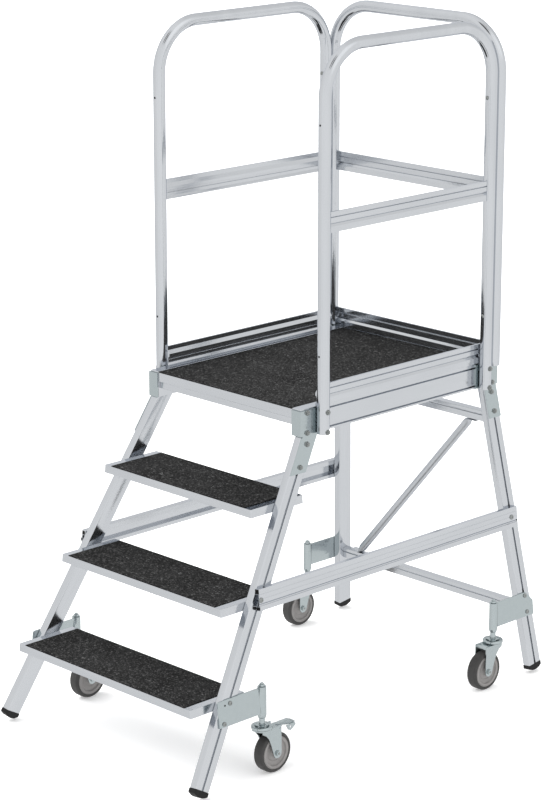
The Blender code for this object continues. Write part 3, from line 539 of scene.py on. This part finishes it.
# --- Treads and platform ------------------------------------------------------
def soften_corners(piece, width):
    """Round the upright corners of a piece in plan."""
    bm = bmesh.new()
    bm.from_mesh(piece.data)
    low_x = min(vert.co.x for vert in bm.verts)
    high_x = max(vert.co.x for vert in bm.verts)
    low_y = min(vert.co.y for vert in bm.verts)
    picked = []
    for edge in bm.edges:
        a, b = (vert.co for vert in edge.verts)
        upright = abs((a - b).normalized().z) > 0.99 and abs(a.z - b.z) > 0.010
        at_end = min(abs(a.x - low_x), abs(a.x - high_x)) < 1e-4 and abs(a.y - low_y) < 1e-4
        if upright and at_end:
            picked.append(edge)
    bmesh.ops.bevel(bm, geom=picked, offset=width, segments=4, profile=0.5, affect="EDGES",
                    clamp_overlap=True)
    bm.to_mesh(piece.data)
    bm.free()
    piece.data.set_sharp_from_angle(angle=0.6)


def add_steps():
    for number in (1, 2, 3):
        tread = rounded_copy(f"tread_{number}", LEVEL_X, FRAME_BODY,
                             0.0010, 3)
        soften_corners(tread, 0.0035)
        rounded_copy(f"tread_{number}_grip", GRIT, FRAME_BODY, 0.0004)
    rounded_copy("platform_deck", LEVEL_X, FRAME_BODY, 0.0008)
    rounded_copy("platform_grip", GRIT, FRAME_BODY, 0.0004)
    for node in ("platform_beam_rear", "rear_cross_rail_upper", "rear_cross_rail_lower"):
        rounded_copy(node, LEVEL_X, FRAME_BODY, 0.0006)
    for corner in CORNERS:
        rounded_copy("corner_bracket_" + corner, ZINC, FRAME_BODY, 0.0018, 4)
    add_beams()
    ahead, sideways = Vector((0, 1, 0)), Vector((1, 0, 0))
    for side_name, side in SIDES:
        for node in ("knee_rail_", "toe_board_"):
            add_guard_rail(node + side_name, Vector((side, 0, 0)), ahead)
    for node in ("knee_rail_back", "toe_board_back"):
        add_guard_rail(node, Vector((0, -1, 0)), sideways)


# --- Guard loops --------------------------------------------------------------
PIPE_SIDES = 72
FLUTE_EVERY = 12
FLUTE_DEPTH = 0.0004
SCREW_HEIGHTS = (1.110, 1.738)
PATCH_SIDES = 16


def pipe(bm, path, radius, wall):
    """A hollow tube along (point, outward, side) stations, with shallow flutes outside."""
    rings = []
    for inset in (0.0, wall):
        skin = []
        for point, outward, side in path:
            ring = []
            for k in range(PIPE_SIDES):
                angle = 2 * pi * k / PIPE_SIDES
                fluted = inset == 0 and (k + FLUTE_EVERY // 2) % FLUTE_EVERY == 0
                size = radius - inset - (FLUTE_DEPTH if fluted else 0)
                ring.append(bm.verts.new(point + outward * size * cos(angle)
                                         + side * size * sin(angle)))
            skin.append(ring)
        rings.append(skin)
        for first, second in zip(skin, skin[1:]):
            for k in range(PIPE_SIDES):
                n = (k + 1) % PIPE_SIDES
                bm.faces.new((first[k], first[n], second[n], second[k]))
    for end in (0, -1):
        outer, inner = rings[0][end], rings[1][end]
        for k in range(PIPE_SIDES):
            n = (k + 1) % PIPE_SIDES
            bm.faces.new((outer[k], outer[n], inner[n], inner[k]))


def loop_path(node, run):
    """Stations up one post, round both bends and down the other post, in the CAD node's box."""
    low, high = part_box(node)
    middle = (low + high) / 2
    half = (high - low).dot(run) / 2 - TUBE_RADIUS
    base = Vector((middle.x, middle.y, 0))
    start, stop = base - run * half, base + run * half
    side = run.cross(UP)
    bend_z = high.z - TUBE_RADIUS - BEND_RADIUS
    path = [(start + UP * low.z, -run, side)]
    steps = 28
    for centre, first, last in ((start + run * BEND_RADIUS, -run, UP),
                                (stop - run * BEND_RADIUS, UP, run)):
        for k in range(steps + 1):
            angle = pi / 2 * k / steps
            radial = first * cos(angle) + last * sin(angle)
            path.append((centre + UP * bend_z + radial * BEND_RADIUS, radial, side))
    path.append((stop + UP * low.z, run, side))
    return path


def add_guard_loops():
    plugs = bmesh.new()
    bore = TUBE_RADIUS - TUBE_WALL - 0.0002
    plug_profile = [(0, -0.0008), (TUBE_RADIUS - 0.0022, -0.0008), (TUBE_RADIUS - 0.0014, 0.0),
                    (bore, 0.0006), (bore, 0.012), (0, 0.012)]
    lengthways, sideways = Vector((0, 1, 0)), Vector((1, 0, 0))
    for node, run in (("guard_loop_left", lengthways), ("guard_loop_right", lengthways),
                      ("guard_loop_back", sideways)):
        bm = bmesh.new()
        path = loop_path(node, run)
        pipe(bm, path, TUBE_RADIUS, TUBE_WALL)
        piece = new_piece(node + "_tube", bm, UPRIGHT, FRAME_BODY, 0.35)
        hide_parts(node)
        for station in (path[0], path[-1]):
            lathe(plugs, plug_profile, station[0], UP, 32)
    new_piece("post_end_plugs", plugs, PLUG_PLASTIC, FRAME_BODY)


def hole_shade_patch(bm, centre, facing, radius):
    """A round dark spot that lies on an upright tube's skin where a hole is drilled: painted shade
    in place of the hole.
    """
    side = UP.cross(facing)
    skin = TUBE_RADIUS + 0.00015

    def on_skin(across, up):
        angle = across / TUBE_RADIUS
        return centre + UP * up + (facing * cos(angle) + side * sin(angle)) * skin

    rings = []
    for size in (radius * 0.5, radius):
        rings.append([bm.verts.new(on_skin(size * cos(2 * pi * k / PATCH_SIDES),
                                           size * sin(2 * pi * k / PATCH_SIDES)))
                      for k in range(PATCH_SIDES)])
    middle = bm.verts.new(on_skin(0, 0))
    for k in range(PATCH_SIDES):
        n = (k + 1) % PATCH_SIDES
        bm.faces.new((middle, rings[0][k], rings[0][n]))
        bm.faces.new((rings[0][k], rings[1][k], rings[1][n], rings[0][n]))


# --- Fasteners ----------------------------------------------------------------
def surface_point(node, side, y, z):
    """Where a level line from outside first meets a CAD node's side, and its outward normal."""
    mesh = frame["nodes"][node].data
    tree = BVHTree.FromPolygons([vert.co for vert in mesh.vertices],
                                [face.vertices[:] for face in mesh.polygons])
    place, normal, _, _ = tree.ray_cast(Vector((side, y, z)), Vector((-side, 0, 0)))
    if normal.x * side < 0:
        normal = -normal
    return place, normal


# Bolt places on one side, in metres: y across a plate, z up it
PLATE_BOLT_Y = {"front_": -0.1894, "rear_": 0.5706}
PLATE_BOLT_HEIGHTS = (0.955, 0.899)
TONGUE_BOLT_HEIGHTS = {"front_": (0.811, 0.868), "rear_": (0.8136, 0.8715)}
SIDE_RAIL_BOLTS = ((-0.422, 0.4925), (0.603, 0.4945))
CASTOR_PLATE_BOLTS = {"front_": ((-0.5564, 0.241), (-0.5834, 0.190)),
                      "rear_": ((0.6496, 0.244), (0.6556, 0.194))}
CASTOR_PLATE_HOLE = (-0.5754, 0.239)
# Thin dark disc laid on the castor plate: painted shade in place of its drilled hole
CASTOR_HOLE_SHADE_PROFILE = ((0, 0.0001), (0.0026, 0.0001), (0.0026, 0.0004), (0, 0.0004))
POST_HOLE_RADIUS = 0.0032
SUNK = 0.0006       # how far a head is let into a round tube


def add_fasteners(legs):
    bolts = bmesh.new()
    shade_discs = bmesh.new()
    loop_low, loop_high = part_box("guard_loop_right")
    post_y = {"front_": loop_low.y + TUBE_RADIUS, "rear_": loop_high.y - TUBE_RADIUS}
    back_loop_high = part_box("guard_loop_back")[1]
    forward, rearward = Vector((0, -1, 0)), Vector((0, 1, 0))
    for side_name, side in SIDES:
        outward = Vector((side, 0, 0))
        post_x = side * (loop_high.x - TUBE_RADIUS)
        for end in ("front_", "rear_"):
            bracket = "corner_bracket_" + end + side_name
            for z in PLATE_BOLT_HEIGHTS:
                nut(bolts, *surface_point(bracket, side, PLATE_BOLT_Y[end], z))
                post = Vector((post_x, post_y[end], z))
                nut(bolts, post + outward * (TUBE_RADIUS - 0.0004), outward)
            leg = legs[end + side_name]
            for z in TONGUE_BOLT_HEIGHTS[end]:
                nut(bolts, *surface_point(bracket, side, leg.on_face(z).y, z))
        for y, z in SIDE_RAIL_BOLTS:
            dome_head(bolts, *surface_point("side_rail_" + side_name, side, y, z), 0.0075, 0.004)
        for end, spots in CASTOR_PLATE_BOLTS.items():
            for y, z in spots:
                plate = "castor_socket_" + end + side_name
                dome_head(bolts, *surface_point(plate, side, y, z), 0.0065, 0.0045)
        # Dark plastic disc on the castor plate paints the shade of its drilled hole
        place, normal = surface_point("castor_socket_front_" + side_name, side, *CASTOR_PLATE_HOLE)
        lathe(shade_discs, CASTOR_HOLE_SHADE_PROFILE, place, normal, 16)
        back_x = side * (back_loop_high.x - TUBE_RADIUS)
        for z in SCREW_HEIGHTS:
            # Dark disc on the front post's skin paints the shade of a drilled hole
            hole_shade_patch(shade_discs, Vector((post_x, post_y["front_"], z)), forward, POST_HOLE_RADIUS)
            screw = Vector((post_x, post_y["rear_"] - TUBE_RADIUS + SUNK, z))
            dome_head(bolts, screw, forward, 0.006, 0.0035)
            nut(bolts, Vector((back_x, back_loop_high.y - SUNK, z)), rearward, 0.009, 0.005)
    new_piece("frame_bolts", bolts, FASTENER, FRAME_BODY)
    # Dark plastic discs that paint the shade of the drilled holes
    new_piece("painted_hole_shade", shade_discs, PLUG_PLASTIC, FRAME_BODY)


# --- Brace --------------------------------------------------------------------
def add_brace():
    rounded_copy("diagonal_brace", BRACE_SATIN, FRAME_BODY, 0.0003)


# --- Castors ------------------------------------------------------------------
def add_wheel(corner):
    """Moulded wheel centre with stepped faces, and a tyre with round shoulders."""
    low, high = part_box("wheel_tyre_" + corner)
    centre = (low + high) / 2
    half = (high.x - low.x) / 2
    body = "wheel_" + corner
    rim = TYRE_INNER_RADIUS - 0.0002
    bore = AXLE_RADIUS + 0.0004
    axis = Vector((1, 0, 0))
    face = [(bore, half + 0.0008), (0.0100, half + 0.0008), (0.0112, half), (0.0135, 0.0112),
            (0.0150, 0.0104), (0.0240, 0.0100), (0.0246, 0.0112), (0.0262, 0.0112),
            (0.0268, 0.0100), (0.0350, 0.0104), (0.0372, 0.0118), (0.0388, half - 0.0012),
            (0.0410, half - 0.0004), (0.0440, half - 0.0004), (0.0446, half - 0.0016),
            (0.0455, half - 0.0016), (rim, half - 0.0006)]
    bm = bmesh.new()
    closed_lathe(bm, face + [(r, -h) for r, h in reversed(face)], centre, axis, 96)
    hub = new_piece("wheel_centre_" + corner, bm, HUB_PLASTIC, body, 0.5)
    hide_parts("wheel_hub_" + corner)

    shoulder = 0.0065
    steps = 7
    tread = [(TYRE_INNER_RADIUS, half - 0.0002), (TYRE_INNER_RADIUS + 0.0012, half),
             (WHEEL_RADIUS - shoulder, half)]
    for k in range(1, steps):
        angle = pi / 2 * k / steps
        tread.append((WHEEL_RADIUS - shoulder * (1 - sin(angle)) - 0.0008 * (1 - k / steps),
                      half - shoulder * (1 - cos(angle))))
    tread.append((WHEEL_RADIUS - 0.0003, half - shoulder))
    tread.append((WHEEL_RADIUS, half * 0.25))
    bm = bmesh.new()
    closed_lathe(bm, tread + [(r, -h) for r, h in reversed(tread)], centre, axis, 96)
    tyre = new_piece("tyre_" + corner, bm, TYRE_RUBBER, body, 0.7)
    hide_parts("wheel_tyre_" + corner)


# Pedal: (distance from its pin, height, half width), then its wings as (distance, height)
PEDAL_PROFILE = ((-0.004, 0.0005, 0.0110), (0.004, 0.0035, 0.0120), (0.018, 0.0030, 0.0120),
                 (0.030, 0.0010, 0.0130), (0.046, 0.0000, 0.0165), (0.060, 0.0010, 0.0165),
                 (0.0668, -0.0010, 0.0120))
WING = ((0.026, -0.0010), (0.0655, -0.0010), (0.060, -0.0100), (0.0440, -0.0200), (0.036, -0.0170))
WING_HOLE = (0.0440, -0.0100, 0.0034)
WING_X = 0.0170
WING_THICKNESS = 0.0022
PEDAL_THICKNESS = 0.0025
PEDAL_CROWN = 0.0012
PIN_RADIUS = 0.003
PIN_HALF_LENGTH = 0.021


def add_pedal(corner):
    """Foot pedal: a pressed plate on a cross pin, with a drilled wing on each side."""
    node = "brake_pedal_" + corner
    pivot = next(Vector(joint["pos_m"]) for joint in frame["joints"] if joint["child"] == node)
    along = Vector((0, 1, 0))
    across = Vector((1, 0, 0))
    strips = 8
    bm = bmesh.new()
    rows = []
    for level in (0.0, -PEDAL_THICKNESS):
        grid = []
        for reach, height, half_width in PEDAL_PROFILE:
            line = []
            for step in range(strips + 1):
                share = (step - strips // 2) / (strips // 2)
                crown = PEDAL_CROWN * (1 - share * share)
                line.append(bm.verts.new(pivot + along * reach + across * half_width * share
                                         + UP * (height + level + crown)))
            grid.append(line)
        rows.append(grid)
    top, under = rows
    for grid in rows:
        for first, second in zip(grid, grid[1:]):
            for k in range(strips):
                bm.faces.new((first[k], first[k + 1], second[k + 1], second[k]))
    for k in (0, strips):
        for n in range(len(top) - 1):
            bm.faces.new((top[n][k], top[n + 1][k], under[n + 1][k], under[n][k]))
    for n in (0, -1):
        for k in range(strips):
            bm.faces.new((top[n][k], top[n][k + 1], under[n][k + 1], under[n][k]))
    lathe(bm, [(0, -PIN_HALF_LENGTH), (PIN_RADIUS, -PIN_HALF_LENGTH), (PIN_RADIUS, PIN_HALF_LENGTH),
               (0, PIN_HALF_LENGTH)], pivot, across, 20)
    for way in (-1, 1):
        drilled_plate(bm, WING, WING_HOLE, pivot + across * way * WING_X, along, UP,
                      across * way * WING_THICKNESS)
    plate = new_piece("foot_pedal_" + corner, bm, ZINC, node)
    bevel(plate, 0.0004)
    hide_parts(node)


def drilled_plate(bm, outline, hole, origin, u_axis, v_axis, thickness):
    """A flat plate with one round hole, built as a ring of strips between outline and hole."""
    steps = 24
    centre_u, centre_v, radius = hole
    loops = []
    for level in (Vector(), thickness):
        outer, inner = [], []
        for k in range(steps):
            angle = 2 * pi * k / steps
            ray = Vector((cos(angle), sin(angle)))
            reach = ray_to_outline(Vector((centre_u, centre_v)), ray, outline)
            for ring, size in ((outer, reach), (inner, radius)):
                ring.append(bm.verts.new(origin + u_axis * (centre_u + ray.x * size)
                                         + v_axis * (centre_v + ray.y * size) + level))
        loops.append((outer, inner))
    (outer_a, inner_a), (outer_b, inner_b) = loops
    for k in range(steps):
        n = (k + 1) % steps
        for a, b in ((outer_a, inner_a), (inner_a, inner_b),
                     (inner_b, outer_b), (outer_b, outer_a)):
            bm.faces.new((a[k], a[n], b[n], b[k]))


def ray_to_outline(start, ray, outline):
    """Distance from a point inside an outline to the outline, along a unit ray."""
    best = 1.0
    for (au, av), (bu, bv) in zip(outline, outline[1:] + outline[:1]):
        edge = Vector((bu - au, bv - av))
        across = ray.x * edge.y - ray.y * edge.x
        if abs(across) < 1e-12:
            continue
        gap = Vector((au, av)) - start
        reach = (gap.x * edge.y - gap.y * edge.x) / across
        share = (gap.x * ray.y - gap.y * ray.x) / across
        if reach > 0 and -1e-6 <= share <= 1 + 1e-6:
            best = min(best, reach)
    return best


DISH_PROFILE = ((0.0125, 0.0140), (0.0160, 0.0134), (0.0190, 0.0136), (0.0205, 0.0130),
                (0.0205, 0.0120))
AXLE_NUT_X = 0.0218


def add_castor(corner):
    """Plate and socket, stem, fork, wheel and, in front, a pedal; with a race cover and nuts."""
    for node, body in (("castor_socket_", FRAME_BODY), ("castor_stem_", "castor_stem_" + corner),
                       ("castor_fork_", "castor_fork_" + corner)):
        rounded_copy(node + corner, ZINC, body, 0.0004)
    add_wheel(corner)
    if corner.startswith("front"):
        add_pedal(corner)

    stem_low, stem_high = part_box("castor_stem_" + corner)
    axis = (stem_low + stem_high) / 2
    crown = Vector((axis.x, axis.y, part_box("castor_fork_" + corner)[1].z))
    race = bmesh.new()
    lathe(race, DISH_PROFILE, crown, UP, 48)
    new_piece("swivel_dish_" + corner, race, ZINC, "castor_stem_" + corner)
    wheel_low, wheel_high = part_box("wheel_hub_" + corner)
    axle = (wheel_low + wheel_high) / 2
    bolts = bmesh.new()
    for way in (-1, 1):
        end = Vector((axle.x + way * AXLE_NUT_X, axle.y, axle.z))
        nut(bolts, end, Vector((way, 0, 0)), 0.012, 0.0045)
    new_piece("axle_nuts_" + corner, bolts, FASTENER, "castor_fork_" + corner)


# --- Stage --------------------------------------------------------------------
FLOOR_HALF = 60
SUN_ENERGY = 3.2
SUN_WIDTH = radians(60)
SUN_AIM = Vector((0.45, 0.30, -1.0))


def add_stage():
    scene = bpy.context.scene
    camera = bpy.data.objects.new("camera", bpy.data.cameras.new("camera"))
    scene.collection.objects.link(camera)
    camera.location = CAMERA_PLACE
    camera.rotation_euler = (pi / 2 - CAMERA_DIP, 0, CAMERA_AZIMUTH)
    camera.data.lens = CAMERA_LENS
    camera.data.clip_end = 200
    scene.camera = camera

    bm = bmesh.new()
    bmesh.ops.create_grid(bm, x_segments=1, y_segments=1, size=FLOOR_HALF)
    mesh = bpy.data.meshes.new("floor")
    bm.to_mesh(mesh)
    bm.free()
    floor = bpy.data.objects.new("floor", mesh)
    scene.collection.objects.link(floor)
    floor.visible_glossy = False
    paint = Shader("floor_paint")
    paint.set(Roughness=0.9, Base_Color=(0.93, 0.93, 0.93, 1.0),
              Emission_Color=(1.0, 1.0, 1.0, 1.0), Emission_Strength=0.30)
    mesh.materials.append(paint.material)

    data = bpy.data.lights.new("overhead", "SUN")
    data.energy = SUN_ENERGY
    data.angle = SUN_WIDTH
    light = bpy.data.objects.new("overhead", data)
    light.rotation_euler = SUN_AIM.to_track_quat("-Z", "Y").to_euler()
    light.visible_glossy = False
    scene.collection.objects.link(light)
    add_surroundings()
    scene.view_settings.view_transform = "Standard"


# Each zone: azimuth and elevation of its middle, radius and soft edge in degrees, light
ZONES = ((-80, 60, 11, 5, 0.14), (-112, -62, 12, 4, 0.02), (8, 42, 12, 22, 1.22),
         (95, 42, 20, 30, 0.86), (-150, -10, 15, 45, 0.93), (-30, -15, 20, 45, 1.04))


def add_surroundings():
    """An even white studio around the object, with a few dark flags and brighter fields."""
    world = bpy.data.worlds.new("studio")
    bpy.context.scene.world = world
    world.use_nodes = True
    nodes, links = world.node_tree.nodes, world.node_tree.links
    direction = nodes.new("ShaderNodeTexCoord").outputs["Generated"]
    total = None
    for azimuth, elevation, radius, edge, light in ZONES:
        azimuth, elevation = radians(azimuth), radians(elevation)
        aim = (cos(azimuth) * cos(elevation), sin(azimuth) * cos(elevation), sin(elevation))
        dot = nodes.new("ShaderNodeVectorMath")
        dot.operation = "DOT_PRODUCT"
        dot.inputs[1].default_value = aim
        links.new(direction, dot.inputs[0])
        fall = nodes.new("ShaderNodeMapRange")
        fall.interpolation_type = "SMOOTHSTEP"
        fall.inputs["From Min"].default_value = cos(radians(radius + edge))
        fall.inputs["From Max"].default_value = cos(radians(radius))
        fall.inputs["To Min"].default_value = 1.0
        fall.inputs["To Max"].default_value = light
        links.new(dot.outputs["Value"], fall.inputs["Value"])
        if total is None:
            total = fall.outputs["Result"]
            continue
        product = nodes.new("ShaderNodeMath")
        product.operation = "MULTIPLY"
        links.new(total, product.inputs[0])
        links.new(fall.outputs["Result"], product.inputs[1])
        total = product.outputs["Value"]
    background = nodes["Background"]
    background.inputs["Color"].default_value = (1, 1, 1, 1)
    links.new(total, background.inputs["Strength"])


add_stage()
legs = add_legs()
add_feet()
add_steps()
add_side_rails(legs)
add_guard_loops()
add_fasteners(legs)
add_brace()
for corner_name in CORNERS:
    add_castor(corner_name)
